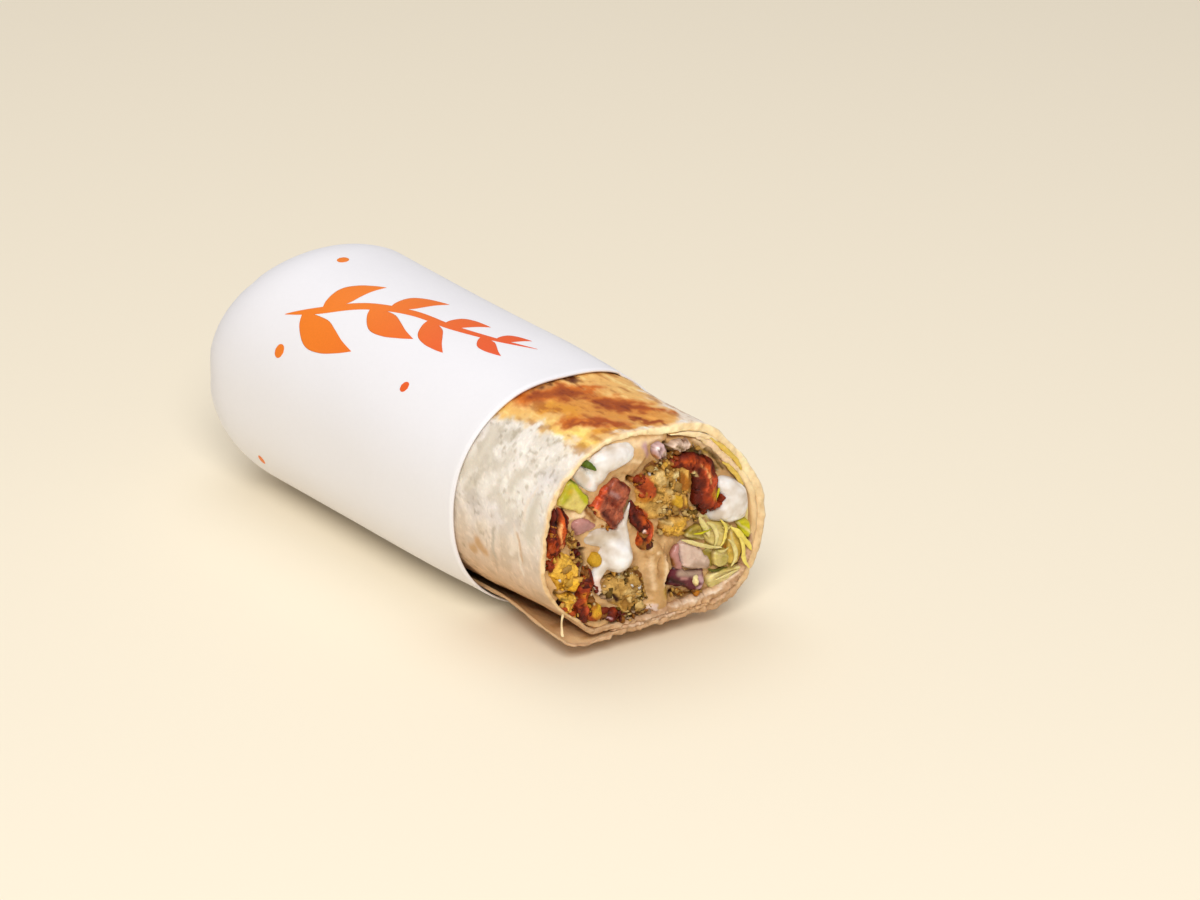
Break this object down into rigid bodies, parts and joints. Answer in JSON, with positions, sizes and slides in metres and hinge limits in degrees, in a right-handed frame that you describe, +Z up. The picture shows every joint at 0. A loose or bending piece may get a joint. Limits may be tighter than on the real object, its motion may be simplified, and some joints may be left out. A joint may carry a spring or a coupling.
{
  "type": "falafel wrap",
  "caption": "Half of a falafel wrap lying in a plain paper sleeve, cut across to show falafel, tomato, cucumber, onion, lettuce, white sauce and bean spread.",
  "frame": {"origin": "middle of the box of the whole roll, on the surface that it lies on", "axes": "+Y along the roll from the cut to the closed end, +Z up, +X to the right when the cut face is seen from the front"},
  "size_m": [0.0626, 0.1502, 0.0585],
  "materials": {
    "paper": "smooth white food paper",
    "flatbread": "soft, floury, toasted in patches",
    "bean_spread": "smooth, moist",
    "falafel": "coarse crumb with a fried crust",
    "tomato": "wet cut flesh",
    "cucumber": "wet cut flesh with green skin",
    "white_sauce": "thick, glossy",
    "onion": "moist, a little translucent",
    "lettuce": "crisp shreds"
  },
  "bodies": {
    "root": {"paper_sleeve": "paper", "tortilla": "flatbread", "spread": "bean_spread", "falafel_right": "falafel", "falafel_bottom": "falafel", "falafel_left": "falafel", "tomato": "tomato", "cucumber": "cucumber", "sauce_top": "white_sauce", "sauce_middle": "white_sauce", "sauce_right": "white_sauce", "onion_left": "onion", "onion_right": "onion", "onion_dark": "onion", "onion_top": "onion", "lettuce": "lettuce"}
  },
  "joints": []
}
